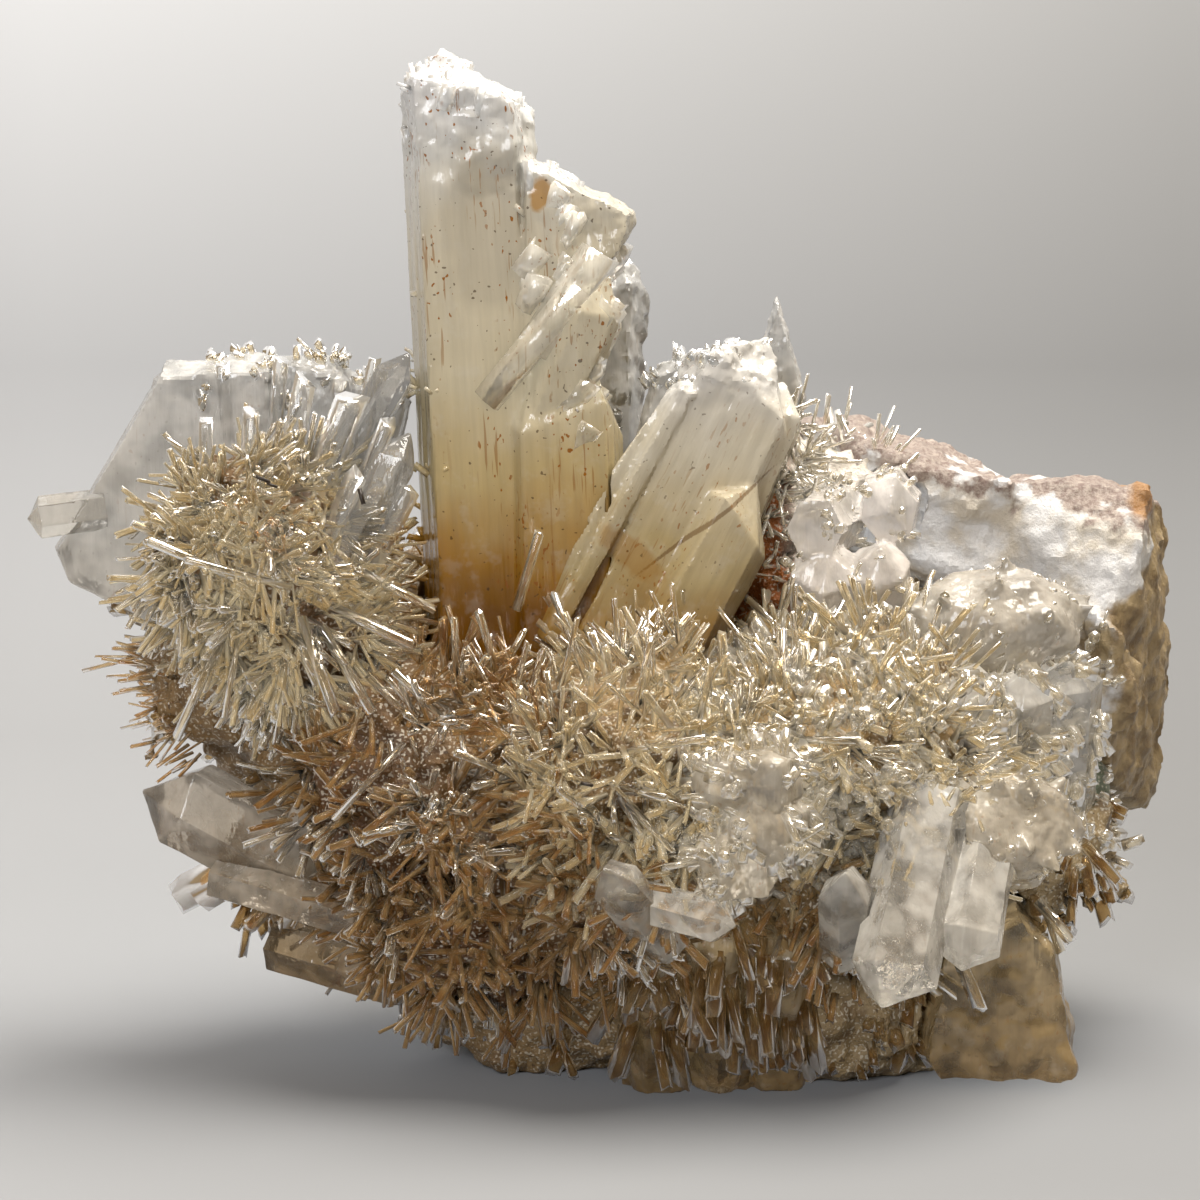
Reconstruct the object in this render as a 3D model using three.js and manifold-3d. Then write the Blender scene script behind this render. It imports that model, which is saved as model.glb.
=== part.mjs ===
// Quartz needle cluster. A core of massive quartz carries large milky prisms, a tall tower crystal, crusts and balls
// of thin clear needles, and drusy masses. Millimetres, +Z up. The view that shows it best looks along +Y.
import * as THREE from "three";
import { ConvexGeometry } from "three/addons/geometries/ConvexGeometry.js";
import { mergeVertices } from "three/addons/utils/BufferGeometryUtils.js";
import Module from "manifold-3d";

const wasm = await Module();
wasm.setup();

// Driving dimensions
const GAP = 0.4; // clear space left round a piece where it sits in what it grew from
const FLOOR = 0; // the height that the foot of the cluster is broken off at
const WORLD = 300; // half the width of the block that takes away what is under the floor
const TOWER_HEIGHT = 207;
const NEEDLE = { length: [6, 14], width: [1.7, 2.8] }; // the common needle, past the lump that it grows from
const BALL_NEEDLE = { length: [8, 16], width: [1.8, 3] };
const DRUSE = { length: [2, 4.5], width: [3.5, 6] }; // the stubby crystals on a drusy mass
const BURIED = 0.88; // how far out in its lump a needle starts, as a share of the lump's radius
const CORNER_GROWTH = 1.4; // how much further a corner moves than its faces when a shape is grown all over

// The colours and surfaces of the quartz
const milky = { color: 0xe4dccd, roughness: 0.35, metalness: 0 };
const stained = { color: 0xcdb48c, roughness: 0.4, metalness: 0 };
const clear = { color: 0xd9cdb8, roughness: 0.12, metalness: 0 };
const massive = { color: 0xd8cfc0, roughness: 0.6, metalness: 0 };

// A repeatable source of random numbers from 0 to 1.
function dice(seed) {
  let state = seed >>> 0;
  return () => {
    state = (state + 0x6d2b79f5) >>> 0;
    let t = state;
    t = Math.imul(t ^ (t >>> 15), t | 1);
    t ^= t + Math.imul(t ^ (t >>> 7), t | 61);
    return ((t ^ (t >>> 14)) >>> 0) / 4294967296;
  };
}

const between = (roll, [low, high]) => low + (high - low) * roll();
const vec = ([x, y, z]) => new THREE.Vector3(x, y, z);

// The smallest closed shape round some points, as a solid that can be joined and cut.
function hull(points) {
  const plain = new ConvexGeometry(points);
  plain.deleteAttribute("normal");
  const merged = mergeVertices(plain, 1e-4);
  return new wasm.Manifold(
    new wasm.Mesh({
      numProp: 3,
      vertProperties: merged.attributes.position.array,
      triVerts: new Uint32Array(merged.index.array),
    }),
  );
}

const joined = (solids) => solids.reduce((whole, next) => whole.add(next));

// The corners of a prism as shares of its half width and half thickness, from the right round the back
const sixCorners = (flat) => [
  [1, 0],
  [flat, 1],
  [-flat, 1],
  [-1, 0],
  [-flat, -1],
  [flat, -1],
];
const fourCorners = [
  [1, 0],
  [0, 1],
  [-1, 0],
  [0, -1],
];

// The frame of a crystal: its long axis, and its broad face turned to the viewer unless roll turns it.
function crystalFrame(foot, tip, roll) {
  const axis = tip.clone().sub(foot).normalize();
  const away = Math.abs(axis.y) > 0.9 ? new THREE.Vector3(0, 0, 1) : new THREE.Vector3(0, 1, 0);
  const depth = away.sub(axis.clone().multiplyScalar(away.dot(axis))).normalize();
  const across = new THREE.Vector3().crossVectors(depth, axis);
  return new THREE.Matrix4()
    .makeBasis(across, depth, axis)
    .multiply(new THREE.Matrix4().makeRotationZ(THREE.MathUtils.degToRad(roll)))
    .setPosition(foot);
}

// A quartz crystal: a prism, wide across and thin in depth, with a point of uneven faces.
// shoulders are the depths of the corners below the tip, as shares of point.
function crystal({
  foot,
  tip,
  width,
  thick = width * 0.86,
  roll = 0,
  point = width * 0.75,
  shoulders = [1, 0.7, 1.05, 0.8, 0.92, 0.75],
  peak = [0, 0],
  flat = 0.5,
  taper = 1,
  corners = sixCorners(flat),
  grow = 0,
}) {
  const from = vec(foot);
  const to = vec(tip);
  const length = from.distanceTo(to);
  const wide = width / 2 + CORNER_GROWTH * grow;
  const deep = thick / 2 + CORNER_GROWTH * grow;
  const points = [new THREE.Vector3(peak[0], peak[1], length + CORNER_GROWTH * grow)];
  corners.forEach(([x, y], i) => {
    const top = length - point * shoulders[i] + grow / 2;
    points.push(new THREE.Vector3(x * wide, y * deep, -grow));
    points.push(new THREE.Vector3(x * wide * taper, y * deep * taper, top));
  });
  const frame = crystalFrame(from, to, roll);
  return hull(points.map((p) => p.applyMatrix4(frame)));
}

// A broken plate: an outline in X and Z, thickest in the middle, between a front and a back depth.
function plate({ outline, front, back, inset = 0.86, grow = 0 }) {
  const sums = outline.reduce((sum, [x, z]) => [sum[0] + x, sum[1] + z], [0, 0]);
  const [cx, cz] = sums.map((total) => total / outline.length);
  const points = [];
  outline.forEach(([x, z]) => {
    const out = new THREE.Vector2(x - cx, z - cz);
    const rim = 1 + (CORNER_GROWTH * grow) / out.length();
    points.push(new THREE.Vector3(cx + out.x * rim, (front + back) / 2, cz + out.y * rim));
    points.push(new THREE.Vector3(cx + out.x * rim * inset, front - grow, cz + out.y * rim * inset));
    points.push(new THREE.Vector3(cx + out.x * rim * inset, back + grow, cz + out.y * rim * inset));
  });
  return hull(points);
}

// A rounded lump of rock: the hull of a few points spread over an ellipsoid, each a little in or out.
function rock({ at, radii, count = 28, seed = 1, grow = 0 }) {
  const roll = dice(seed);
  const points = [];
  for (let i = 0; i < count; i++) {
    const height = 1 - (2 * (i + 0.5)) / count;
    const ring = Math.sqrt(1 - height * height);
    const turn = i * Math.PI * (3 - Math.sqrt(5)) + 0.5 * roll();
    const out = 0.93 + 0.14 * roll();
    const [x, y, z] = [ring * Math.cos(turn), ring * Math.sin(turn), height].map(
      (share, axis) => at[axis] + share * (out * radii[axis] + grow),
    );
    points.push(new THREE.Vector3(x, y, z));
  }
  return hull(points);
}

// A lump with flat broken faces between corners that are given.
function block({ blockCorners, grow = 0 }) {
  const points = blockCorners.map(vec);
  const centre = points.reduce((sum, p) => sum.clone().add(p)).divideScalar(points.length);
  return hull(points.map((p) => p.add(p.clone().sub(centre).setLength(CORNER_GROWTH * grow))));
}

// The crystals that grow out of a lump, within a cone of directions round a main one.
function growth(
  { at, radii },
  { towards, cone, count, seed, size = NEEDLE, splay = 0.35, lean = [0, 0, 0], corners = fourCorners },
) {
  const roll = dice(seed);
  const main = vec(towards).normalize();
  const found = [];
  while (found.length < count) {
    const way = new THREE.Vector3(2 * roll() - 1, 2 * roll() - 1, 2 * roll() - 1);
    const far = way.length();
    if (far > 1 || far < 0.1 || way.angleTo(main) > THREE.MathUtils.degToRad(cone)) continue;
    way.normalize();
    const start = new THREE.Vector3(...at.map((c, i) => c + way.getComponent(i) * radii[i] * BURIED));
    const out = new THREE.Vector3(...radii.map((r, i) => way.getComponent(i) / r)).normalize();
    out.add(vec(lean));
    out.add(new THREE.Vector3(roll() - 0.5, roll() - 0.5, roll() - 0.5).multiplyScalar(2 * splay));
    const width = between(roll, size.width);
    const length = between(roll, size.length) + (1 - BURIED) * Math.max(...radii);
    const end = start.clone().add(out.setLength(length));
    found.push({
      foot: start.toArray(),
      tip: end.toArray(),
      width,
      thick: width,
      roll: 60 * roll(),
      point: width * 0.9,
      corners,
    });
  }
  return found;
}

// The lumps that the needles and the druse grow from
const ballLump = { at: [-70, -1, 105], radii: [25, 20, 26], seed: 31 };
const upperBoulder = { at: [79, -4, 94], radii: [19, 14, 11.5], seed: 41 };
const lowerBoulder = { at: [77, -26, 57], radii: [17.5, 14, 12.5], seed: 42 };
const crustLumps = {
  middle: { at: [8, -9, 66], radii: [33, 30, 25], seed: 21 },
  right: { at: [50, -8, 69], radii: [34, 28, 25], seed: 22 },
  left: { at: [-33, -6, 62], radii: [27, 24, 27], seed: 23 },
  lowerLeft: { at: [-26, -6, 36], radii: [28, 20, 21], seed: 24 },
  lowerMiddle: { at: [8, -12, 44], radii: [30, 23, 20], seed: 25 },
  lowerRight: { at: [48, -10, 42], radii: [28, 19, 19], seed: 26 },
};
const matrixLumps = {
  core: { at: [20, 14, 50], radii: [56, 32, 46], seed: 3, count: 36 },
  leftBack: { at: [-48, 16, 72], radii: [36, 23, 32], seed: 5 },
  behindTower: { at: [-8, 34, 78], radii: [44, 20, 36], seed: 9 },
  rightBack: { at: [66, 30, 62], radii: [42, 27, 40], seed: 12 },
  footLeft: { at: [-8, 10, 21], radii: [31, 22, 27], seed: 14, count: 24 },
  footRight: { at: [54, 12, 17], radii: [38, 25, 27], seed: 15, count: 24 },
  footFront: { at: [26, 0, 20], radii: [34, 19, 28], seed: 16, count: 24 },
  underBall: { at: [-78, 9, 80], radii: [17, 14, 15], seed: 17, count: 16 },
  behindLeftCrystal: { at: [-82, 12, 100], radii: [22, 13, 18], seed: 18, count: 18 },
  lowerLeft: { at: [-60, 10, 42], radii: [20, 16, 16], seed: 19, count: 18 },
  rightFringe: { at: [89, 9, 47], radii: [20, 16, 20], seed: 20, count: 18 },
};

// Every piece of the cluster, each with the shapes that have grown into one. A piece is cut clear of those before it.
const cluster = {
  tower_crystal: [
    {
      foot: [-20, 12, 70],
      tip: [-27.5, 13, TOWER_HEIGHT],
      width: 30,
      thick: 27,
      flat: 0.72,
      taper: 0.84,
      point: 10,
      shoulders: [1.4, 1.0, 0.5, 0.65, 0.55, 1.1],
      peak: [-4, 0],
    },
    { foot: [-7, 7, 74], tip: [-9, 9, 163], width: 26, thick: 22, flat: 0.66, point: 34, roll: 6 },
    {
      outline: [[-16, 186], [-10.9, 184], [-5, 180], [2, 176.5], [7.2, 175], [6.5, 171], [-2, 156], [-16, 146]],
      front: 0,
      back: 19,
    },
    { foot: [-14, 4, 128], tip: [2, 0, 163], width: 14, thick: 10, roll: 12, point: 9 },
    { foot: [-31, 14, 150], tip: [-33, 12, 204], width: 13, thick: 16, roll: 10, point: 7 },
    { foot: [-18, 16, 150], tip: [-18.5, 14, 199], width: 11, thick: 14, roll: -14, point: 7 },
  ],
  tower_back_crystal: [{ foot: [2, 30, 96], tip: [3, 31, 168.5], width: 14, thick: 14, point: 12 }],
  leaning_crystals: [
    {
      foot: [-2, 2, 76],
      tip: [34, 10, 150],
      width: 27,
      thick: 17,
      flat: 0.68,
      point: 13,
      shoulders: [1.5, 1.2, 0.7, 0.85, 0.6, 1.1],
    },
    {
      foot: [8, -4, 78],
      tip: [31.5, 0, 121.5],
      width: 17,
      thick: 13,
      flat: 0.6,
      point: 9,
      shoulders: [1.4, 1.2, 0.6, 0.7, 0.6, 1.2],
    },
    { foot: [-10, -5, 102], tip: [18.5, 3, 142.5], width: 5.5, thick: 8, point: 4, roll: 8 },
    { foot: [22, 8, 104], tip: [37, 12, 141], width: 15, thick: 14, roll: 16, point: 8 },
  ],
  shard_crystal: [
    { outline: [[36, 157.5], [31, 140], [34, 116], [40, 124], [42.5, 136], [39.5, 146]], front: 21, back: 29 },
  ],
  pale_back_plate: [
    { outline: [[2, 108], [11, 142.5], [15, 144.5], [27.6, 147], [30, 132], [18, 104]], front: 17, back: 24 },
  ],
  bright_crystal: [{ foot: [-54, 0, 121], tip: [-37.5, -1, 148], width: 8.5, roll: 20 }],
  grey_crystal: [{ foot: [-56, -9, 100], tip: [-37, -7, 133], width: 9.5, roll: -15 }],
  left_crystal: [
    {
      outline: [[-110.5, 107], [-87, 145], [-64, 146], [-62, 112], [-84, 92], [-100, 96], [-108, 100]],
      front: 2,
      back: 20,
      inset: 0.92,
    },
    { foot: [-88, 8, 92], tip: [-68, 14, 146.5], width: 18, thick: 17, flat: 0.6, point: 5, roll: 10 },
    { foot: [-72, 10, 94], tip: [-54, 14, 146], width: 20, thick: 15, flat: 0.6, point: 5, roll: -8 },
    { foot: [-57, 12, 92], tip: [-44, 14, 144], width: 16, thick: 13, flat: 0.6, point: 6, roll: 14 },
  ],
  left_clear_tip: [{ foot: [-99, 3, 116], tip: [-114, -1, 114.5], width: 8.5, point: 3, roll: 10 }],
  lower_left_prism: [
    { foot: [-54, 0, 40], tip: [-91.5, -1, 61], width: 19, thick: 17, point: 10, roll: 24, peak: [-2, 0] },
  ],
  wedge_crystal: [{ foot: [-61, -4, 40], tip: [-59.5, -16, 61], width: 10, thick: 8, roll: 40, point: 9 }],
  lower_left_log: [{ foot: [-77, -5, 42.5], tip: [-44, -17, 36], width: 10, roll: 12, point: 4 }],
  lower_left_stub: [{ foot: [-66, 0, 27], tip: [-36, -14, 22.5], width: 11.5, roll: 30, point: 5 }],
  front_crystal: [{ foot: [13, -32, 36], tip: [0.5, -50, 56], width: 10, thick: 8, roll: 15, point: 6 }],
  front_lying_crystal: [{ foot: [2, -34, 47], tip: [25.5, -53, 45.5], width: 8.8, roll: 20, point: 5 }],
  drusy_white_group: [
    { foot: [34, -28, 68], tip: [22, -53, 50], width: 17, thick: 13, roll: 12, point: 8 },
    { foot: [26, -26, 60], tip: [33, -52, 76], width: 15, thick: 12, point: 8 },
    { foot: [38, -28, 60], tip: [26, -54, 63], width: 16, thick: 14, roll: 26, point: 8 },
    { foot: [30, -26, 70], tip: [20, -50, 70], width: 12, thick: 11, roll: 40, point: 6 },
  ],
  front_pale_crystal: [{ foot: [48, -30, 34], tip: [46, -50, 55], width: 11, thick: 9, roll: 10, point: 8 }],
  white_prisms: [
    { foot: [64, -28, 64], tip: [53.5, -57, 30.5], width: 16.5, thick: 14, roll: 8, point: 8, flat: 0.55, peak: [1, 0] },
    { foot: [76, -24, 61], tip: [68, -51, 36], width: 14, thick: 11, roll: -10, point: 8 },
  ],
  foot_columns: [
    { foot: [12, -8, 0.6], tip: [11, -26, 38], width: 15, thick: 12, roll: 8, point: 4 },
    { foot: [24.5, -8, 0], tip: [22, -30, 40], width: 12.5, thick: 12, roll: 22, point: 4 },
    { foot: [36, -7, 0.4], tip: [33, -28, 38], width: 15, thick: 12, roll: 2, point: 4 },
  ],
  corner_crystal: [
    {
      outline: [[64, 6], [67, 1.5], [93, 0.4], [96.5, 3], [95, 15], [91.5, 30], [84, 38], [68, 30]],
      front: -15,
      back: 12,
      inset: 0.9,
    },
  ],
  pocket_crystals: [
    { foot: [50, 22, 112], tip: [42.5, -3, 112.8], width: 13, thick: 11.6, roll: 4, point: 0.8 },
    { foot: [60, 22, 115], tip: [57, -3, 116], width: 13, thick: 13, roll: 16, point: 5 },
    { foot: [47, 12, 86], tip: [45, -3, 109], width: 16, thick: 14, roll: 18, point: 6 },
    { foot: [57, 14, 86], tip: [55.5, -4, 109], width: 13, thick: 12, roll: 5, point: 5 },
  ],
  side_columns: [
    { foot: [73, -4, 56], tip: [71, -23, 88], width: 14, thick: 12, roll: 6, point: 5 },
    { foot: [84, -2, 56], tip: [83, -18, 87], width: 13, thick: 12, roll: 20, point: 5 },
    { foot: [94, 2, 56], tip: [93, -11, 88], width: 13, thick: 12, point: 5 },
  ],
  upper_drusy_boulder: [
    upperBoulder,
    ...growth(upperBoulder, { towards: [0, -1, 0.3], cone: 100, count: 14, seed: 41, size: DRUSE, splay: 0.3 }),
  ],
  lower_drusy_boulder: [
    lowerBoulder,
    ...growth(lowerBoulder, { towards: [0, -1, 0.3], cone: 100, count: 14, seed: 42, size: DRUSE, splay: 0.3 }),
  ],
  quartz_block: [
    {
      blockCorners: [
        [39, 30, 131], [44, 52, 126], [59, 56, 127.5], [76, 57, 121], [90, 50, 114], [60, 22, 124], [84, 16, 119],
        [46, 22, 108], [44, 48, 92], [84, 16, 98], [90, 52, 60], [60, 56, 80],
      ],
    },
    {
      blockCorners: [
        [80, 20, 119], [112, 18, 118.5], [117, 40, 112], [88, 50, 116], [121, 40, 92], [122.5, 44, 70], [119, 48, 43],
        [96, 52, 40], [106, 12, 58], [103, 4, 68], [101, 4, 92], [108, 8, 106], [86, 14, 62],
      ],
    },
    { blockCorners: [[96, 8, 96], [104, -2, 92], [109, 6, 84], [108, 2, 72], [98, 0, 66], [112, 16, 78], [94, 14, 78]] },
    ...growth({ at: [60, 38, 104], radii: [22, 16, 20] }, { towards: [-0.2, -1, 0.1], cone: 50, count: 6, seed: 51 }),
  ],
  quartz_matrix: [
    ...Object.values(matrixLumps),
    { foot: [-72, 13, 42], tip: [-92, 10, 32], width: 9, point: 9, roll: 15 },
    { foot: [56.8, -16, 30], tip: [56.3, -34, 11.5], width: 7.5, roll: 10, point: 4.5 },
    { foot: [-34, 40, 70], tip: [-44, 57, 100], width: 13, point: 8, roll: 20 },
    { foot: [0, 46, 60], tip: [14, 62, 76], width: 12, point: 7, roll: 10 },
    { foot: [30, 40, 84], tip: [26, 58, 106], width: 11, point: 7, roll: 30 },
    ...growth(matrixLumps.underBall, { towards: [-1, -0.3, -0.2], cone: 50, count: 6, seed: 61 }),
    ...growth(matrixLumps.rightFringe, { towards: [1, -0.6, -0.3], cone: 50, count: 4, seed: 62, size: DRUSE }),
    ...growth(matrixLumps.behindTower, { towards: [0, 1, 0.2], cone: 55, count: 5, seed: 63, size: DRUSE }),
  ],
  left_needle_ball: [
    ballLump,
    ...growth(ballLump, {
      towards: [0.35, -0.8, -0.4],
      cone: 95,
      count: 42,
      seed: 71,
      size: BALL_NEEDLE,
      splay: 0.22,
    }),
  ],
  needle_crust: [
    ...Object.values(crustLumps),
    ...growth(crustLumps.middle, { towards: [0, -0.8, 0.6], cone: 62, count: 18, seed: 81 }),
    ...growth(crustLumps.right, { towards: [0, -0.8, 0.6], cone: 60, count: 12, seed: 82 }),
    ...growth(crustLumps.left, { towards: [-0.2, -0.9, 0.3], cone: 62, count: 11, seed: 83, lean: [-0.1, 0, 0] }),
    ...growth(crustLumps.lowerLeft, { towards: [-0.2, -0.8, -0.5], cone: 55, count: 10, seed: 84, lean: [0, 0, -0.4] }),
    ...growth(crustLumps.lowerMiddle, { towards: [0, -0.7, -0.6], cone: 48, count: 9, seed: 85, lean: [0, 0, -0.5] }),
    ...growth(crustLumps.lowerRight, { towards: [0.2, -0.8, -0.4], cone: 45, count: 5, seed: 86, lean: [0, 0, -0.3] }),
  ],
};

const looks = {
  quartz_matrix: massive,
  quartz_block: massive,
  needle_crust: stained,
  left_needle_ball: clear,
  bright_crystal: clear,
  left_clear_tip: clear,
};

// One shape of a piece, grown all over by some millimetres where it is to cut its socket
function made(shape, grow = 0) {
  if (shape.outline) return plate({ ...shape, grow });
  if (shape.blockCorners) return block({ ...shape, grow });
  if (shape.radii) return rock({ ...shape, grow });
  return crystal({ ...shape, grow });
}

// The biggest body of a solid that a cut has left in several.
function largest(whole) {
  return whole.decompose().reduce((best, next) => (next.volume() > best.volume() ? next : best));
}

const underFloor = hull(
  [-WORLD, WORLD].flatMap((x) =>
    [-WORLD, WORLD].flatMap((y) => [FLOOR - WORLD, FLOOR].map((z) => new THREE.Vector3(x, y, z))),
  ),
);

const root = new THREE.Group();
const sockets = [];
for (const [name, shapes] of Object.entries(cluster)) {
  let body = joined(shapes.map((shape) => made(shape))).subtract(underFloor);
  for (const socket of sockets) body = body.subtract(socket);
  body = largest(body);
  sockets.push(joined(shapes.map((shape) => made(shape, GAP))));
  const { vertProperties, triVerts } = body.getMesh();
  const geometry = new THREE.BufferGeometry();
  geometry.setAttribute("position", new THREE.BufferAttribute(new Float32Array(vertProperties), 3));
  geometry.setIndex(new THREE.BufferAttribute(triVerts, 1));
  geometry.computeVertexNormals();
  const mesh = new THREE.Mesh(geometry, new THREE.MeshStandardMaterial(looks[name] ?? milky));
  mesh.name = name;
  root.add(mesh);
}

// The origin is the middle of the cluster's footprint, at the floor.
const box = new THREE.Box3().setFromObject(root);
const centre = box.getCenter(new THREE.Vector3());
root.position.set(-centre.x, -centre.y, -box.min.z);

export default root;
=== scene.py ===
# %% [markdown]
# # A quartz needle cluster
# A natural growth of quartz: a broken core of massive quartz, a tall milky tower, leaning prisms, and
# crusts and balls of thin clear needles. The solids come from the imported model. This script gives each of
# them its broken or grown surface, adds the needles that are too many for solids, and lights it all on a
# pale floor.

# %% Load the frame
import math

import bpy
import numpy as np
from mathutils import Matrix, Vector


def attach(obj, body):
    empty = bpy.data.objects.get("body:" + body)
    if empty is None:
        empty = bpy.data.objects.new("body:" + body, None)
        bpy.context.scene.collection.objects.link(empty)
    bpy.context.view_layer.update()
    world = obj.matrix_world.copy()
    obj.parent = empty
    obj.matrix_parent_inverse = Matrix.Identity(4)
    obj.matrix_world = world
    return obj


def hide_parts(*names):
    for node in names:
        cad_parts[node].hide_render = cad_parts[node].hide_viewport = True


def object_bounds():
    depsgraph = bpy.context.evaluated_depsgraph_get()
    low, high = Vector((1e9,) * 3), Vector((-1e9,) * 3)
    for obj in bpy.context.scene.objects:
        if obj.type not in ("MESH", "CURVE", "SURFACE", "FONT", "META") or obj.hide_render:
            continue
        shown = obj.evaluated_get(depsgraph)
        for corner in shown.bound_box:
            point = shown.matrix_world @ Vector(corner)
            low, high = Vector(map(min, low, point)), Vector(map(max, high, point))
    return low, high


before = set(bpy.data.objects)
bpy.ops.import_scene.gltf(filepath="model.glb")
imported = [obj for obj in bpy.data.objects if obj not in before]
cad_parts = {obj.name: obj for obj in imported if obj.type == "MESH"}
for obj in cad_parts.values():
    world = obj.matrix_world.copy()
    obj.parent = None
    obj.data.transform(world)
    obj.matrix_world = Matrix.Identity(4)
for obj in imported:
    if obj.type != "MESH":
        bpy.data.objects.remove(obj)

cad_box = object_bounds()
MM = 0.001
print("The solids' box in millimetres:", [[round(c / MM, 1) for c in corner] for corner in cad_box])

# %% [markdown]
# Places are counted in millimetres, as they were measured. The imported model's origin is the middle of its
# footprint, so each place is shifted by the same small step.

# %% Places in millimetres
FOOTPRINT_SHIFT = np.array([-4.25, -2.693, 0.0])
BOX_LOW, BOX_HIGH = (np.array(corner) / MM - FOOTPRINT_SHIFT for corner in cad_box)
SURFACE_MARGIN = 0.05
TIP_MARGIN = 0.2


def place(x, y, z):
    """A measured place in millimetres as a place in the frame, in metres."""
    return Vector(np.array([x, y, z]) + FOOTPRINT_SHIFT) * MM


# %% [markdown]
# The photograph looks slightly down, with a long lens, so the prisms keep their true widths. The camera
# stands 650 mm from the middle of the cluster.

# %% The camera
TARGET_HEIGHT = 98
CAMERA_DISTANCE = 650
CAMERA_ELEVATION = math.radians(10)
LENS = 97.5
camera_data = bpy.data.cameras.new("camera")
camera_data.lens = LENS
camera_data.sensor_width = 36
camera_data.clip_start = 0.01
camera = bpy.data.objects.new("camera", camera_data)
camera.location = place(
    0,
    -CAMERA_DISTANCE * math.cos(CAMERA_ELEVATION),
    TARGET_HEIGHT + CAMERA_DISTANCE * math.sin(CAMERA_ELEVATION),
)
camera.rotation_euler = (math.radians(90) - CAMERA_ELEVATION, 0, 0)
bpy.context.collection.objects.link(camera)
bpy.context.scene.camera = camera
print("The camera is", round(camera.location.length, 3), "m from the origin")

# %% [markdown]
# Every material is a small net of nodes. One function adds a node with its settings and its links, and one
# turns the colours that a painter would name into the linear values that the renderer works in.


# %% Node and colour helpers
def linear(hex_colour):
    """An sRGB colour such as #e4dccd as linear red, green, blue and alpha."""
    channels = [int(hex_colour[i : i + 2], 16) / 255 for i in (1, 3, 5)]
    return [c / 12.92 if c <= 0.04045 else ((c + 0.055) / 1.055) ** 2.4 for c in channels] + [1.0]


def add(tree, kind, inputs=None, **settings):
    """Adds a node. An input that is a socket is linked, and any other input is a value."""
    made = tree.nodes.new("ShaderNode" + kind)
    for name, value in settings.items():
        setattr(made, name, value)
    for name, value in (inputs or {}).items():
        socket = made.inputs[name]
        if isinstance(value, bpy.types.NodeSocket):
            tree.links.new(value, socket)
        else:
            socket.default_value = value
    return made


def ramp(tree, factor, stops):
    """A colour ramp over factor. stops are pairs of a position and a hex colour."""
    made = add(tree, "ValToRGB", {"Fac": factor})
    while len(made.color_ramp.elements) < len(stops):
        made.color_ramp.elements.new(0.5)
    for element, (position, colour) in zip(made.color_ramp.elements, stops):
        element.position = position
        element.color = linear(colour)
    return made.outputs["Color"]


def noise(tree, where, size, detail=3.0, roughness=0.55, distortion=0.0):
    """Cloudy noise whose lumps are size millimetres across."""
    inputs = {
        "Vector": where,
        "Scale": 1 / (size * MM),
        "Detail": detail,
        "Roughness": roughness,
        "Distortion": distortion,
    }
    return add(tree, "TexNoise", inputs).outputs["Fac"]


def along(tree, where, turn, stretch):
    """Coordinates in which a pattern is stretched along an axis that is turned from upright by turn."""
    inputs = {"Vector": where, "Rotation": [math.radians(a) for a in turn], "Scale": (1, 1, stretch)}
    return add(tree, "Mapping", inputs, vector_type="TEXTURE").outputs["Vector"]


def step(tree, value, low, high):
    """0 where value is under low, 1 where it is over high."""
    inputs = {"Value": value, "From Min": low, "From Max": high}
    return add(tree, "MapRange", inputs, interpolation_type="SMOOTHSTEP").outputs["Result"]


def spread(tree, value, low, high):
    """A value from 0 to 1 as a value from low to high."""
    return add(tree, "MapRange", {"Value": value, "To Min": low, "To Max": high}).outputs["Result"]


def mapped(tree, value, low, high):
    """A value from low to high as a value from 0 to 1."""
    return add(tree, "MapRange", {"Value": value, "From Min": low, "From Max": high}).outputs["Result"]


def sum_of(tree, first, second, operation="ADD"):
    return add(tree, "Math", {0: first, 1: second}, operation=operation).outputs[0]


def times(tree, first, second):
    return sum_of(tree, first, second, "MULTIPLY")


def mixed(tree, factor, first, second, blend="MIX"):
    made = add(tree, "Mix", data_type="RGBA", blend_type=blend)
    for socket, value in zip([made.inputs[0], made.inputs[6], made.inputs[7]], [factor, first, second]):
        if isinstance(value, bpy.types.NodeSocket):
            tree.links.new(value, socket)
        else:
            socket.default_value = value
    return made.outputs[2]


def painted(tree, colour, mask, strength, paint):
    """The colour with the hex colour paint over it where mask is 1, as thickly as strength."""
    return mixed(tree, times(tree, mask, strength), colour, linear(paint))


def shaded(tree, colour, value, low, high):
    """The colour made low to high times as bright, as value goes from 0 to 1."""
    return mixed(tree, 1.0, colour, spread(tree, value, low, high), "MULTIPLY")


def blot(tree, where, middle, radii, lean=0.0, ragged=0.35, soft=0.3):
    """A ragged patch seen from the front: 1 inside, 0 outside. middle and radii are across and up."""
    inputs = {
        "Vector": where,
        "Location": place(middle[0], 0, middle[1]),
        "Rotation": (0, math.radians(lean), 0),
        "Scale": (radii[0] * MM, 10, radii[1] * MM),
    }
    local = add(tree, "Mapping", inputs, vector_type="TEXTURE").outputs["Vector"]
    far = add(tree, "VectorMath", {0: local}, operation="LENGTH").outputs["Value"]
    edge = times(tree, noise(tree, where, min(radii), detail=2), ragged * 2)
    return mapped(tree, sum_of(tree, far, edge), 1 + ragged, 1 + ragged - soft)


QUARTZ_IOR = 1.544


def new_material(name):
    material = bpy.data.materials.new(name)
    material.use_nodes = True
    tree = material.node_tree
    tree.nodes.clear()
    return material, tree, add(tree, "TexCoord").outputs["Object"]


def surfaced(tree, inputs):
    """Ends a material in the physical surface of quartz."""
    surface = add(tree, "BsdfPrincipled", {"IOR": QUARTZ_IOR, **inputs})
    add(tree, "OutputMaterial", {"Surface": surface.outputs["BSDF"]})


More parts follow.
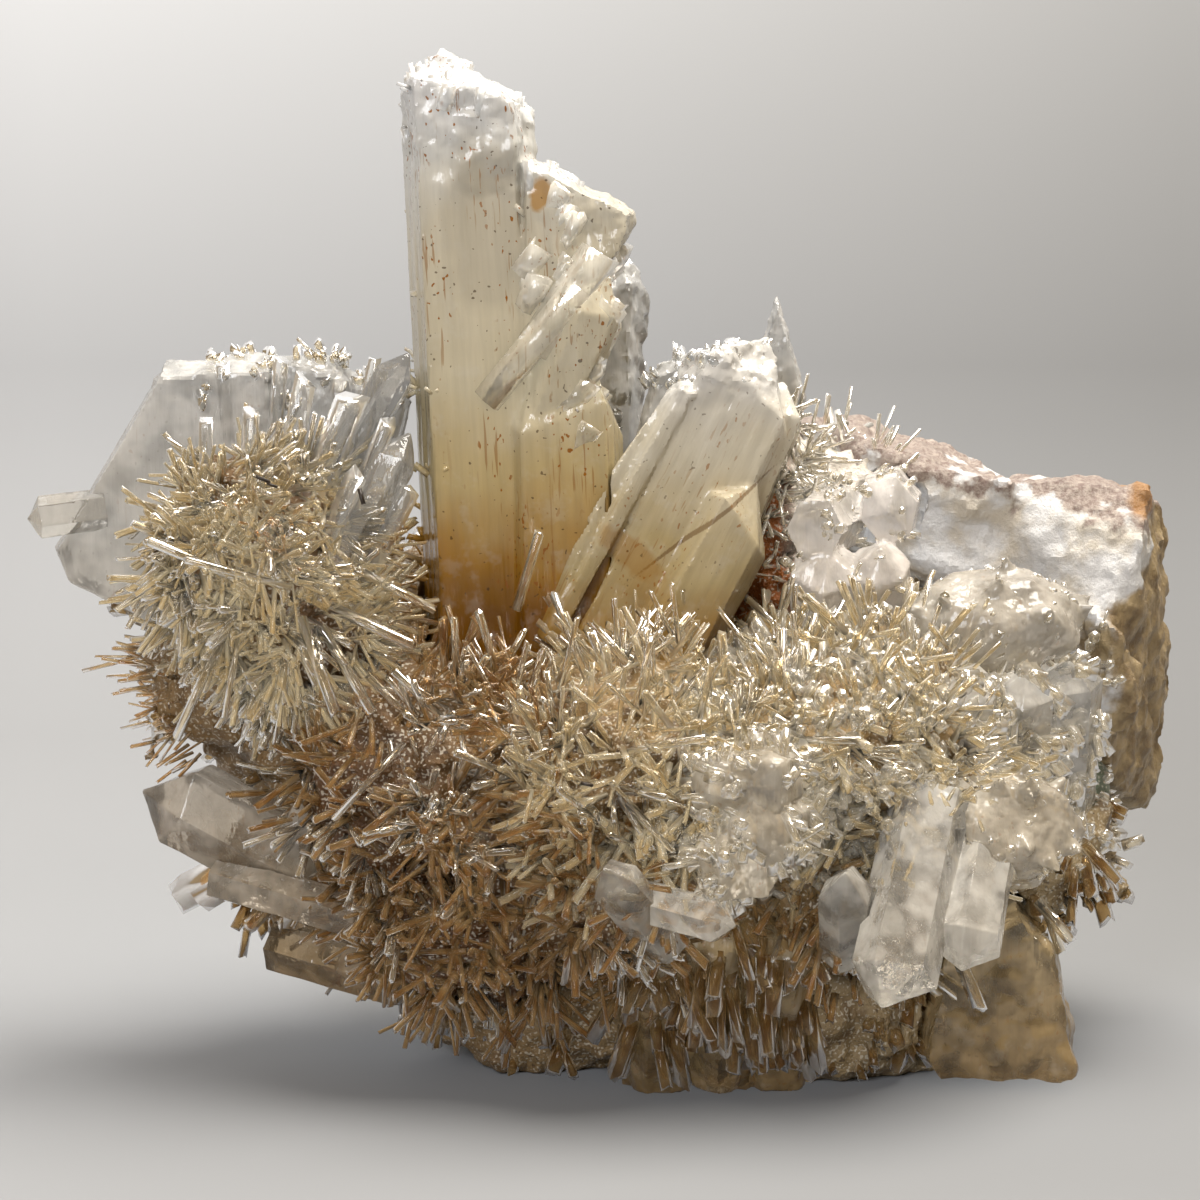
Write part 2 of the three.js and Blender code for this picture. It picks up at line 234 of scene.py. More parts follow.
# %% [markdown]
# Milky quartz is quartz full of tiny fluid bubbles, so it lets part of the light through and scatters the
# rest. Its colour follows the iron stain, which is deepest at the foot. On the prisms low on the left and on
# the foot crystals, that darker foot is also painted shade. Growth has left fine grooves along it, and iron
# oxide makes small orange and black specks and thin streaks. The clearer kinds have soft veils, cloudy
# parts between clear ones.


# %% Milky quartz
CLEAR_TOP = 0.32
CLEAR_FADE = 22


def milky_quartz(
    name, stops, low, high, turn=(0, 0, 0), rust=0.5, clearness=0.2, gloss=0.13,
    blots=(), clear_above=None, veils=0,
):
    """stops are colours from the height low to the height high, in millimetres. blots are ragged patches.

    rust is how strong its specks are. With clear_above, the crystal is clearer from that height up. With
    veils, it is that clear in its cloudy parts, and has the value clearness between them.
    """
    material, tree, where = new_material(name)
    height = add(tree, "SeparateXYZ", {"Vector": where}).outputs["Z"]
    cloud = noise(tree, where, 18, detail=2)
    level = sum_of(tree, height, times(tree, sum_of(tree, cloud, -0.5), 26 * MM))
    colour = ramp(tree, mapped(tree, level, low * MM, high * MM), stops)
    axis = along(tree, where, turn, 14)
    ribs = noise(tree, axis, 1.3, detail=2)
    broad_ribs = noise(tree, axis, 5, detail=1)
    colour = shaded(tree, colour, broad_ribs, 0.84, 1.14)
    colour = shaded(tree, colour, ribs, 0.86, 1.14)
    wisps = step(tree, noise(tree, where, 5, detail=3, roughness=0.65), 0.52, 0.7)
    colour = painted(tree, colour, wisps, 0.13, "#f6f3ea")
    for middle, radii, lean, paint, strength in blots:
        colour = painted(tree, colour, blot(tree, where, middle, radii, lean), strength, paint)
    crowd = step(tree, noise(tree, along(tree, where, turn, 3), 9, detail=1), 0.44, 0.6)
    lines = step(tree, noise(tree, along(tree, where, turn, 24), 0.8, detail=2), 0.63, 0.67)
    colour = painted(tree, colour, times(tree, lines, crowd), 0.6 * rust, "#a8702a")
    dots = step(tree, noise(tree, along(tree, where, turn, 1.6), 1.0, detail=1), 0.68, 0.71)
    colour = painted(tree, colour, times(tree, dots, crowd), 0.95 * rust, "#a9660f")
    flecks = step(tree, noise(tree, where, 0.9, detail=0), 0.79, 0.81)
    colour = painted(tree, colour, flecks, 0.7 * rust, "#4a2f12")
    fine = noise(tree, where, 1.1, detail=1)
    relief = sum_of(tree, times(tree, fine, 0.15), ribs)
    bump = add(tree, "Bump", {"Height": relief, "Strength": 0.35, "Distance": 0.5 * MM}).outputs["Normal"]
    if veils:
        clearness = spread(tree, step(tree, noise(tree, where, 8, detail=2), 0.36, 0.64), veils, clearness)
    if clear_above:
        share = mapped(tree, level, clear_above * MM, (clear_above + CLEAR_FADE) * MM)
        clearness = spread(tree, share, clearness, CLEAR_TOP)
    inputs = {
        "Base Color": colour,
        "Roughness": spread(tree, fine, gloss * 0.5, gloss * 1.9),
        "Transmission Weight": clearness,
        "Normal": bump,
    }
    surfaced(tree, inputs)
    return material


def fade(foot, top):
    return [(0.0, foot), (1.0, top)]


TOWER_STOPS = [
    (0.0, "#8f5c10"),
    (0.12, "#bb8830"),
    (0.27, "#dac28b"),
    (0.45, "#e8dcbc"),
    (0.75, "#e8dfc8"),
    (0.88, "#f2f1ea"),
    (1.0, "#fbfbfa"),
]
TOWER_BLOTS = [
    ((-22, 172), (11.5, 19), 0, "#b9b09c", 0.35),
    ((-21, 183), (9, 5), -20, "#9a917f", 0.3),
    ((-11.7, 178.5), (2.2, 4), 15, "#c98f22", 0.75),
]
LEANING_STOPS = [(0.0, "#8f5f1c"), (0.2, "#b98f48"), (0.45, "#d2bd8c"), (0.72, "#e9e0c9"), (1.0, "#f2efe8")]
LEANING_BLOTS = [((21, 114), (0.5, 20), 53, "#7a5526", 0.65), ((6, 108), (9, 3.5), 40, "#b88430", 0.5)]
PALE_STOPS = [(0.0, "#e6dfd2"), (0.5, "#eeebe4"), (1.0, "#f3f4f3")]
tower_quartz = milky_quartz(
    "milky_tower_quartz", TOWER_STOPS, 95, 200, turn=(0, -3, 0), rust=1.0, clearness=0.25, blots=TOWER_BLOTS,
    clear_above=178,
)
leaning_quartz = milky_quartz(
    "milky_leaning_quartz", LEANING_STOPS, 82, 142, turn=(0, 26, 0), rust=0.7, clearness=0.25,
    blots=LEANING_BLOTS,
)
pale_quartz = milky_quartz(
    "pale_milky_quartz", PALE_STOPS, 95, 165, rust=0.25, clearness=0.6, gloss=0.08, veils=0.3
)
glass_quartz = milky_quartz(
    "veiled_clear_quartz", PALE_STOPS, 95, 165, rust=0.05, clearness=0.8, gloss=0.04
)
cap_quartz = milky_quartz(
    "clear_cap_quartz", fade("#f3f1ea", "#f8f8f5"), 150, 200, rust=0.1, clearness=0.5, gloss=0.05
)
shoulder_quartz = milky_quartz(
    "veiled_shoulder_quartz", fade("#efe4c9", "#f6f2e6"), 130, 175, rust=0.5, clearness=0.7, gloss=0.06,
    veils=0.35,
)
block_quartz = milky_quartz(
    "pinkish_clear_quartz", fade("#f4ebe2", "#f7f2ec"), 90, 130, rust=0.1, clearness=0.6, gloss=0.07,
    veils=0.25,
)
prism_quartz = milky_quartz(
    "frosted_prism_quartz", fade("#d8d1c3", "#e8e4dc"), 20, 80, rust=0.1, clearness=0.88, gloss=0.05,
    veils=0.45,
)
# The prisms low on the left are darker towards their foot: iron stain there, and painted shade.
lower_quartz = milky_quartz(
    "stained_and_shaded_prism_quartz",
    [(0.0, "#ab9370"), (0.5, "#cdbfaa"), (1.0, "#ded6ca")],
    22,
    68,
    rust=0.3,
    clearness=0.85,
    gloss=0.06,
    veils=0.4,
)
# The foot crystals' darker tone is iron stain and painted shade.
foot_quartz = milky_quartz(
    "stained_and_shaded_foot_quartz", fade("#a98e62", "#cbb68e"), 0, 50, rust=0.3, clearness=0.8, gloss=0.07,
    veils=0.35,
)
sugar_quartz = milky_quartz(
    "sugary_quartz", fade("#c8bda9", "#d0c9bd"), 40, 110, rust=0.3, clearness=0.65, gloss=0.09, veils=0.35
)

# %% [markdown]
# Rock crystal is clear quartz. The needles are clear, with a little haze and a faint tint of iron where
# they grow from the stained ground. On the left and low down their tint is darker, as painted shade. They
# carry light from face to face and flash where a face mirrors a lamp. The small ones stand in dense
# crowds, and there they bend light less than quartz does, because the true value turns such a crowd to
# silver.


# %% Clear needles
CROWD_IOR = 1.28


def rock_crystal(name, tint, haze_colour, clearness, gloss, bend=1.54):
    material, tree, where = new_material(name)
    patch = step(tree, noise(tree, where, 4.5, detail=2), 0.35, 0.65)
    colour = mixed(tree, patch, linear(tint), linear(haze_colour))
    surfaced(
        tree, {"Base Color": colour, "Roughness": gloss, "IOR": bend, "Transmission Weight": clearness}
    )
    return material


clear_needle = rock_crystal("clear_needle_quartz", "#fff7e6", "#f4e2bf", clearness=0.95, gloss=0.02)
hazy_needle = rock_crystal(
    "hazy_needle_quartz", "#fbedcc", "#efd7a8", clearness=0.8, gloss=0.1, bend=CROWD_IOR
)
# Its darker tint is iron tint and painted shade, for the needles on the left and low down.
amber_needle = rock_crystal(
    "iron_tinted_and_shaded_needle_quartz", "#dfbb84", "#b88a52", clearness=0.82, gloss=0.1, bend=CROWD_IOR
)
rusty_needle = rock_crystal("rusty_needle_quartz", "#f2d6a6", "#dfa868", clearness=0.82, gloss=0.05)
white_druse = rock_crystal("milky_druse_quartz", "#efe7d6", "#e3d6ba", clearness=0.76, gloss=0.07)
# Its dark tint is iron stain and painted shade, for the crystals at the foot and on the back.
shaded_druse = rock_crystal(
    "stained_and_shaded_druse_quartz", "#c4a470", "#9a7442", clearness=0.84, gloss=0.1, bend=1.3
)

# %% [markdown]
# The ground that the needles grow from is massive quartz and iron oxide: honey-coloured in the hollows on
# the left, paler to the right. On the crust it is also painted darker low down and on the left, under the
# ball, as painted shade. It only shows between the needles, and it sets the colour that they carry.


# %% Stained ground
def stained_ground(name, left, right, dark, middle, width, slant=0.0, depth=0.5, black=0.6, back=0.0):
    """The stain fades from the colour left to the colour right, across width millimetres round middle.

    Its hollows have the colour dark, as strong as depth, and its specks are as strong as black. With slant
    it fades upwards too, by slant millimetres for each millimetre up, and with back it fades backwards.
    """
    material, tree, where = new_material(name)
    split = add(tree, "SeparateXYZ", {"Vector": where})
    across = sum_of(
        tree, split.outputs["X"], times(tree, sum_of(tree, split.outputs["Z"], -60 * MM), slant)
    )
    across = sum_of(tree, across, times(tree, sum_of(tree, split.outputs["Y"], -14 * MM), back))
    share = mapped(tree, across, (middle - width / 2) * MM, (middle + width / 2) * MM)
    colour = mixed(tree, share, linear(left), linear(right))
    hollows = step(tree, noise(tree, where, 6, detail=2), 0.5, 0.68)
    colour = painted(tree, colour, hollows, depth, dark)
    fine = noise(tree, where, 1.0, detail=3, roughness=0.75)
    colour = shaded(tree, colour, fine, 0.62, 1.3)
    # Small pale specks are painted glints, light caught by the fine needles.
    painted_glints = step(tree, noise(tree, where, 0.6, detail=0), 0.6, 0.68)
    colour = painted(tree, colour, painted_glints, 0.5, "#fbf3df")
    specks = step(tree, noise(tree, where, 1.6, detail=1), 0.69, 0.71)
    colour = painted(tree, colour, specks, black, "#33241a")
    bump = add(tree, "Bump", {"Height": fine, "Strength": 0.8, "Distance": 0.9 * MM}).outputs["Normal"]
    surfaced(tree, {"Base Color": colour, "Roughness": spread(tree, fine, 0.15, 0.6), "Normal": bump})
    return material


# Slant darkens the crust's ground low down and on the left, under the ball: painted shade over iron stain.
crust_ground = stained_ground(
    "iron_stained_and_shaded_quartz_ground", "#5c3a12", "#96794a", "#3c230b", -8, 80, slant=0.9, depth=0.6
)
ball_ground = stained_ground("amber_quartz_ground", "#765422", "#523612", "#3e240c", -66, 40)
pocket_ground = stained_ground(
    "amber_pocket_ground", "#a85c12", "#fff6e8", "#8a4c14", 34, 6, depth=0.1, black=0.1, back=1.0
)
matrix_stone = stained_ground("massive_quartz_matrix", "#94754a", "#ab956f", "#63492a", 10, 120, depth=0.6)

dark_ore, tree, where = new_material("black_ore_specks")
ore_colour = mixed(tree, noise(tree, where, 0.8), linear("#120e0b"), linear("#3a2c1e"))
surfaced(tree, {"Base Color": ore_colour, "Roughness": 0.4})
pebble_stone = stained_ground(
    "grey_green_host_rock", "#6d7862", "#8b9178", "#4c523f", 100, 10, depth=0.3, black=0.2
)

# %% [markdown]
# The broken wall on the right is massive white quartz. A pinkish rind of the host rock is left along its
# top. Its right flank is a break, ribbed across, painted olive and grey-brown as painted shade.


# %% Wall of massive quartz with its rind
def wall_quartz(name):
    material, tree, where = new_material(name)
    split = add(tree, "SeparateXYZ", {"Vector": where})
    drift = noise(tree, where, 9, detail=6)
    fine = noise(tree, where, 1.2, detail=6, roughness=0.7)
    white = mixed(tree, step(tree, drift, 0.4, 0.65), linear("#f0f0f0"), linear("#dfd6c6"))
    rind = mixed(tree, step(tree, fine, 0.35, 0.65), linear("#8f7a71"), linear("#bdafa3"))
    # The olive and grey-brown of the right flank is painted shade.
    olive = mixed(
        tree, step(tree, noise(tree, where, 5, detail=6), 0.35, 0.65), linear("#8a7452"), linear("#bfa87e")
    )
    wander = times(tree, sum_of(tree, drift, -0.5), 22 * MM)
    up = sum_of(tree, split.outputs["Z"], times(tree, split.outputs["X"], 0.2))
    top = step(tree, sum_of(tree, up, wander), 132 * MM, 134 * MM)
    ledge = times(tree, step(tree, split.outputs["Z"], 106 * MM, 92 * MM), 24 * MM)
    # The flank mask says where that painted shade goes.
    aside = sum_of(tree, split.outputs["X"], times(tree, split.outputs["Y"], 0.5))
    flank = step(tree, sum_of(tree, sum_of(tree, aside, wander), ledge), 116 * MM, 121 * MM)
    colour = mixed(tree, flank, white, olive)
    colour = mixed(tree, top, colour, rind)
    colour = painted(tree, colour, blot(tree, where, (112, 117), (5, 6)), 0.7, "#b9802c")
    colour = shaded(tree, colour, fine, 0.78, 1.15)
    ribs = noise(tree, along(tree, where, (0, 25, 0), 5), 3, detail=5)
    bump = add(tree, "Bump", {"Height": sum_of(tree, fine, ribs), "Strength": 0.7, "Distance": 0.9 * MM})
    inputs = {
        "Base Color": colour,
        "Roughness": spread(tree, fine, 0.18, 0.55),
        "Normal": bump.outputs["Normal"],
    }
    surfaced(tree, inputs)
    return material


wall_stone = wall_quartz("white_massive_quartz_with_rind")
print("Materials:", len(bpy.data.materials))

# %% [markdown]
# Operators act on all that is selected, so each step starts by selecting just the piece that it works on.


# %% Modelling helpers
def only(*objects):
    """Selects these objects alone, the first as the active one."""
    if bpy.context.object and bpy.context.object.mode != "OBJECT":
        bpy.ops.object.mode_set(mode="OBJECT")
    bpy.ops.object.select_all(action="DESELECT")
    for piece in objects:
        piece.select_set(True)
    bpy.context.view_layer.objects.active = objects[0] if objects else None


def modified(piece, kind, **settings):
    """Adds a modifier and applies it."""
    modifier = piece.modifiers.new(kind.lower(), kind)
    for name, value in settings.items():
        setattr(modifier, name, value)
    only(piece)
    bpy.ops.object.modifier_apply(modifier=modifier.name)


def points_of(piece):
    """All points of a piece, as an array in measured millimetres."""
    flat = np.empty(len(piece.data.vertices) * 3)
    piece.data.vertices.foreach_get("co", flat)
    return flat.reshape(-1, 3) / MM - FOOTPRINT_SHIFT


def put_points(piece, points):
    piece.data.vertices.foreach_set("co", ((points + FOOTPRINT_SHIFT) * MM).ravel())
    piece.data.update()


def weighted(piece, share):
    """A group of the piece's points with the weights share(points)."""
    group = piece.vertex_groups.new(name="where")
    for index, weight in enumerate(np.clip(share(points_of(piece)), 0, 1)):
        group.add([index], float(weight), "REPLACE")
    return group.name


def roughened(piece, kind, size, strength, turn=None, stretch=1, share=None):
    """Moves the surface in and out by strength millimetres, in lumps of size millimetres.

    With turn, the lumps are drawn out stretch times along a crystal's axis. With share, only some points
    move.
    """
    texture = bpy.data.textures.new(kind.lower() + "_relief", kind)
    texture.noise_scale = size * MM
    settings = {"texture": texture, "strength": strength * MM, "mid_level": 0.5}
    if share:
        settings["vertex_group"] = weighted(piece, share)
    if turn:
        only()
        bpy.ops.object.empty_add(rotation=[math.radians(a) for a in turn])
        guide = bpy.context.object
        guide.scale = (1, 1, stretch)
        bpy.context.view_layer.update()
        settings["texture_coords"] = "OBJECT"
        settings["texture_coords_object"] = guide
    modified(piece, "DISPLACE", **settings)
    if turn:
        bpy.data.objects.remove(guide)
    piece.vertex_groups.clear()


def copied(name, *nodes):
    """A merged copy of one or more solids, as one object."""
    copies = []
    for node in nodes:
        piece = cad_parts[node].copy()
        piece.data = piece.data.copy()
        bpy.context.collection.objects.link(piece)
        world = piece.matrix_world.copy()
        piece.parent = None
        piece.matrix_world = world
        copies.append(piece)
    only(*copies)
    if len(copies) > 1:
        bpy.ops.object.join()
    piece = bpy.context.view_layer.objects.active
    piece.name = name
    piece.data.name = name
    bpy.ops.object.mode_set(mode="EDIT")
    bpy.ops.mesh.select_all(action="SELECT")
    bpy.ops.mesh.remove_doubles(threshold=0.01 * MM)
    bpy.ops.object.mode_set(mode="OBJECT")
    return piece


def dressed(piece, material, slot, *nodes):
    """Keeps a finished piece inside the solids' box and gives it its material and its place on the body."""
    put_points(piece, np.clip(points_of(piece), BOX_LOW + SURFACE_MARGIN, BOX_HIGH - SURFACE_MARGIN))
    piece.data.materials.clear()
    piece.data.materials.append(material)
    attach(piece, "root")
    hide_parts(*nodes)
    print(piece.name, "has", len(piece.data.polygons), "faces")
    return piece


# %% [markdown]
# A grown crystal has flat faces and sharp edges, but a natural one is never perfect: its edges are a little
# worn, and its faces have long grooves and shallow steps. Each big crystal starts as a copy of its solid. A
# voxel remesh gives it an even skin, and reliefs drawn out along its axis then groove it.


# %% Big crystals
def grown_crystal(node, material, voxel=0.8, turn=(0, 0, 0), groove=0.5, swell=0.5, extra=(), tuck=None):
    """extra holds reliefs for parts of the crystal: kind, size, strength and the share of each point."""
    piece = copied(node + "_skin", node)
    if tuck:
        put_points(piece, tuck(points_of(piece)))
    modified(piece, "REMESH", mode="VOXEL", voxel_size=voxel * MM)
    roughened(piece, "CLOUDS", 14, swell)
    roughened(piece, "CLOUDS", 3.5, groove, turn, 16)
    for kind, size, strength, share in extra:
        roughened(piece, kind, size, strength, share=share)
    only(piece)
    bpy.ops.object.shade_smooth_by_angle(angle=math.radians(22))
    return dressed(piece, material, "milky_quartz", node)


def ramped(values, low, high):
    return np.clip((values - low) / (high - low), 0, 1)


def tower_cap(points):
    cap = ramped(points[:, 2] + 0.25 * points[:, 0], 170, 182)
    shoulder = ramped(points[:, 0] - 0.2 * (points[:, 2] - 160), -12, -6) * ramped(points[:, 2], 156, 164)
    return np.maximum(cap, shoulder)


def upper_end(height, fade):
    return lambda points: ramped(points[:, 2], height, height + fade)


CAP_RELIEF = [("CLOUDS", 9, 3.4, tower_cap), ("CLOUDS", 3.5, 1.3, tower_cap)]
tower = grown_crystal(
    "tower_crystal", tower_quartz, voxel=0.6, turn=(0, -3, 0), groove=0.7, extra=CAP_RELIEF
)
EDGE_RELIEF = [("CLOUDS", 7, 3.0, upper_end(125, 20)), ("CLOUDS", 2.5, 1.4, upper_end(125, 20))]
back_crystal = grown_crystal("tower_back_crystal", pale_quartz, voxel=0.7, groove=0.8, extra=EDGE_RELIEF)
LEANING_RELIEF = [("CLOUDS", 5, 2.4, upper_end(135, 8)), ("CLOUDS", 2, 1.2, upper_end(137, 6))]


def blade_run_down(points):
    """Runs the foot of the thin blade on, down to the crust that it grows from."""
    foot = (points[:, 0] < -3.5) & (points[:, 1] < 0) & (points[:, 2] > 98)
    share = np.where(foot, ramped(points[:, 2], 118, 106), 0)
    return points + share[:, None] * [-1, 2, -12]


leaning = grown_crystal(
    "leaning_crystals",
    leaning_quartz,
    voxel=0.6,
    turn=(0, 26, 0),
    extra=LEANING_RELIEF,
    tuck=blade_run_down,
)
grown_crystal("shard_crystal", pale_quartz, voxel=0.5, groove=0.6, extra=EDGE_RELIEF[1:])
back_plate = grown_crystal("pale_back_plate", pale_quartz, voxel=0.6, extra=EDGE_RELIEF)
left_plate = grown_crystal(
    "left_crystal", pale_quartz, turn=(0, 20, 0), extra=[("CLOUDS", 3, 1.6, upper_end(134, 8))]
)
white_group = grown_crystal("drusy_white_group", sugar_quartz, voxel=0.5, groove=1.0, swell=2.0)
foot_group = grown_crystal("foot_columns", foot_quartz, voxel=0.7, groove=1.4, swell=1.5)

# %% [markdown]
# The smaller prisms are sharper. Each is its solid with a narrow bevel along every edge, which catches the
# light, and a very shallow swell over its faces, so that no face is a perfect mirror.


# %% Small sharp crystals
def sharp_crystal(node, material, slot="milky_quartz", edge=0.3):
    piece = copied(node + "_skin", node)
    modified(
        piece, "BEVEL", width=edge * MM, segments=2, limit_method="ANGLE", angle_limit=math.radians(18)
    )
    modified(piece, "SUBSURF", subdivision_type="SIMPLE", levels=3)
    roughened(piece, "CLOUDS", 5, 0.5)
    only(piece)
    bpy.ops.object.shade_smooth_by_angle(angle=math.radians(16))
    piece.visible_shadow = False
    return dressed(piece, material, slot, node)


for node in ["lower_left_prism", "wedge_crystal", "lower_left_log", "lower_left_stub"]:
    sharp_crystal(node, lower_quartz)
for node in ["front_crystal", "front_lying_crystal", "front_pale_crystal", "white_prisms"]:
    sharp_crystal(node, prism_quartz)
sharp_crystal("left_clear_tip", glass_quartz, "clear_quartz")
sharp_crystal("bright_crystal", glass_quartz, "clear_quartz")
sharp_crystal("grey_crystal", glass_quartz)
CORNER_RELIEF = [("VORONOI", 9, -1.6, upper_end(-50, 1)), ("CLOUDS", 2.5, 0.7, upper_end(-50, 1))]
corner = grown_crystal("corner_crystal", foot_quartz, voxel=0.6, groove=0.8, swell=3.0, extra=CORNER_RELIEF)
pocket_group = grown_crystal("pocket_crystals", block_quartz, voxel=0.5, swell=2.5)
columns = sharp_crystal("side_columns", prism_quartz)

# %% [markdown]
# Massive quartz breaks into lumps and shell-shaped steps. The same start, a remeshed copy, is roughened in
# three sizes, from hand-sized hollows to grit. Fine needles on the left of the solid core are drawn in
# first, because the remesh would melt them, and real needles are planted there later.


# %% Broken quartz
def broken_quartz(name, material, slot, nodes, voxel, reliefs, angle=24, tuck=None, smooth=0):
    piece = copied(name, *nodes)
    if tuck:
        put_points(piece, tuck(points_of(piece)))
    modified(piece, "REMESH", mode="VOXEL", voxel_size=voxel * MM)
    if smooth:
        modified(piece, "SMOOTH", factor=0.5, iterations=smooth)
    for kind, size, strength in reliefs:
        roughened(piece, kind, size, strength)
    only(piece)
    bpy.ops.object.shade_smooth_by_angle(angle=math.radians(angle))
    return dressed(piece, material, slot, *nodes)


def drawn_in(points):
    """Pulls the needles under the ball back to the lump that they grow from."""
    low_left = (points[:, 2] > 55) & (points[:, 2] < 96) & (points[:, 0] < -92)
    points[low_left, 0] = -92
    low_point = (points[:, 2] < 45) & (points[:, 0] < -78)
    points[low_point, 0] = -78
    return points


COARSE = [("CLOUDS", 22, 5), ("VORONOI", 9, -3.0), ("STUCCI", 4, 1.6), ("VORONOI", 2.6, -1.0)]
WALL_RELIEF = [("CLOUDS", 20, 5), ("STUCCI", 9, 2.4), ("CLOUDS", 4, 2.0), ("STUCCI", 2, 0.7)]
wall = broken_quartz("broken_wall", wall_stone, "massive_quartz", ["quartz_block"], 0.9, WALL_RELIEF)
matrix = broken_quartz(
    "broken_matrix", matrix_stone, "massive_quartz", ["quartz_matrix"], 1.1, COARSE, tuck=drawn_in
)
SUGAR = [("CLOUDS", 11, 2.2), ("CLOUDS", 4, 0.8), ("CLOUDS", 1.1, 0.4)]
upper_boulder = broken_quartz(
    "upper_boulder_ground", sugar_quartz, "milky_quartz", ["upper_drusy_boulder"], 0.5, SUGAR, smooth=60
)
lower_boulder = broken_quartz(
    "lower_boulder_ground", sugar_quartz, "milky_quartz", ["lower_drusy_boulder"], 0.5, SUGAR, smooth=60
)

# The renderer lets no light through a clear piece on its way from a lamp, so what lies in a clear crystal
# would be black. These pieces therefore cast no shadow, like the sharp crystals above and the needles
# planted later.
for piece in [white_group, foot_group, corner, pocket_group, upper_boulder, lower_boulder]:
    piece.visible_shadow = False

# %% [markdown]
# The ground of the needle crust and of the ball is a heap of lumps, a few millimetres inside the tips of
# the needles. Each lump is an icosphere at its place, and the heap is remeshed into one skin and roughened
# into ridges and caves.


# %% Needle grounds
def heap(name, lumps, shrink, voxel, reliefs):
    """lumps are pairs of a middle and three radii, in millimetres."""
    parts = []
    for middle, radii in lumps:
        only()
        bpy.ops.mesh.primitive_ico_sphere_add(subdivisions=4, radius=1, location=place(*middle))
        part = bpy.context.object
        part.scale = [(r - shrink) * MM for r in radii]
        parts.append(part)
    only(*parts)
    bpy.ops.object.transform_apply(location=True, rotation=True, scale=True)
    if len(parts) > 1:
        bpy.ops.object.join()
    piece = bpy.context.view_layer.objects.active
    piece.name = name
    modified(piece, "REMESH", mode="VOXEL", voxel_size=voxel * MM)
    for kind, size, strength in reliefs:
        roughened(piece, kind, size, strength)
    only(piece)
    bpy.ops.object.shade_smooth_by_angle(angle=math.radians(24))
    return piece


CRUST_LUMPS = [
    ((8, -9, 66), (33, 30, 25)),
    ((50, -8, 69), (34, 28, 25)),
    ((-33, -6, 62), (27, 24, 27)),
    ((-26, -6, 36), (28, 20, 21)),
    ((8, -12, 44), (30, 23, 20)),
    ((48, -10, 42), (28, 19, 19)),
]
BALL_LUMPS = [((-68, -1, 106), (25, 20, 25)), ((-60, -2, 92), (20, 19, 18))]
POCKET_LUMPS = [((32, 23, 108), (15, 9, 26)), ((38, 24, 96), (14, 10, 20)), ((46, 27, 117), (12, 8, 9))]
crust = heap(
    "crust_ground", CRUST_LUMPS, 2.5, 1.0, [("CLOUDS", 14, 9), ("VORONOI", 6, -4.0), ("STUCCI", 2.5, 1.6)]
)
dressed(crust, crust_ground, "stained_needles", "needle_crust")
ball = heap(
    "ball_ground", BALL_LUMPS, 5, 0.9, [("CLOUDS", 10, 5), ("VORONOI", 5, -3.0), ("STUCCI", 2.5, 1.4)]
)
dressed(ball, ball_ground, "clear_quartz", "left_needle_ball")
pocket = heap("pocket_ground", POCKET_LUMPS, 0, 0.9, [("CLOUDS", 9, 4), ("STUCCI", 3, 2.0)])
dressed(pocket, pocket_ground, "massive_quartz", "quartz_matrix")
PEBBLE_LUMPS = [((99.5, 6, 59), (4.5, 4, 5.5)), ((100.5, 6, 54), (3, 3, 3.5))]
pebble = heap("host_rock_pebble", PEBBLE_LUMPS, 0, 0.5, [("CLOUDS", 3, 1.2)])
dressed(pebble, pebble_stone, "massive_quartz", "quartz_matrix")

# %% [markdown]
# One needle is modelled by hand: a six-sided prism whose top is drawn out and merged into a point. It is
# one across, with its foot at height 0, its shoulder at 1 and its tip at 2. Every needle is then a copy of
# it, set into one mesh as an array of points, because thousands of separate objects would be slow to draw
# and to keep.

# %% The pattern needle
SHOULDER = 1
TIP = 2
only()
bpy.ops.mesh.primitive_cylinder_add(vertices=6, radius=0.5, depth=SHOULDER, location=(0, 0, SHOULDER / 2))
pattern = bpy.context.object
bpy.ops.object.transform_apply(location=True)
for face in pattern.data.polygons:
    face.select = face.normal.z > 0.9
bpy.ops.object.mode_set(mode="EDIT")
bpy.ops.mesh.select_mode(type="FACE")
bpy.ops.mesh.extrude_region_move(TRANSFORM_OT_translate={"value": (0, 0, TIP - SHOULDER)})
bpy.ops.mesh.merge(type="CENTER")
bpy.ops.mesh.select_all(action="SELECT")
bpy.ops.mesh.quads_convert_to_tris()
bpy.ops.object.mode_set(mode="OBJECT")
pattern_points = np.array([vertex.co for vertex in pattern.data.vertices])
pattern_faces = np.array([face.vertices for face in pattern.data.polygons])
bpy.data.objects.remove(pattern)
print("The pattern needle has", len(pattern_points), "points and", len(pattern_faces), "triangles")


# %% Many needles in one mesh
def unit(vectors):
    return vectors / np.maximum(np.linalg.norm(vectors, axis=-1, keepdims=True), 1e-9)


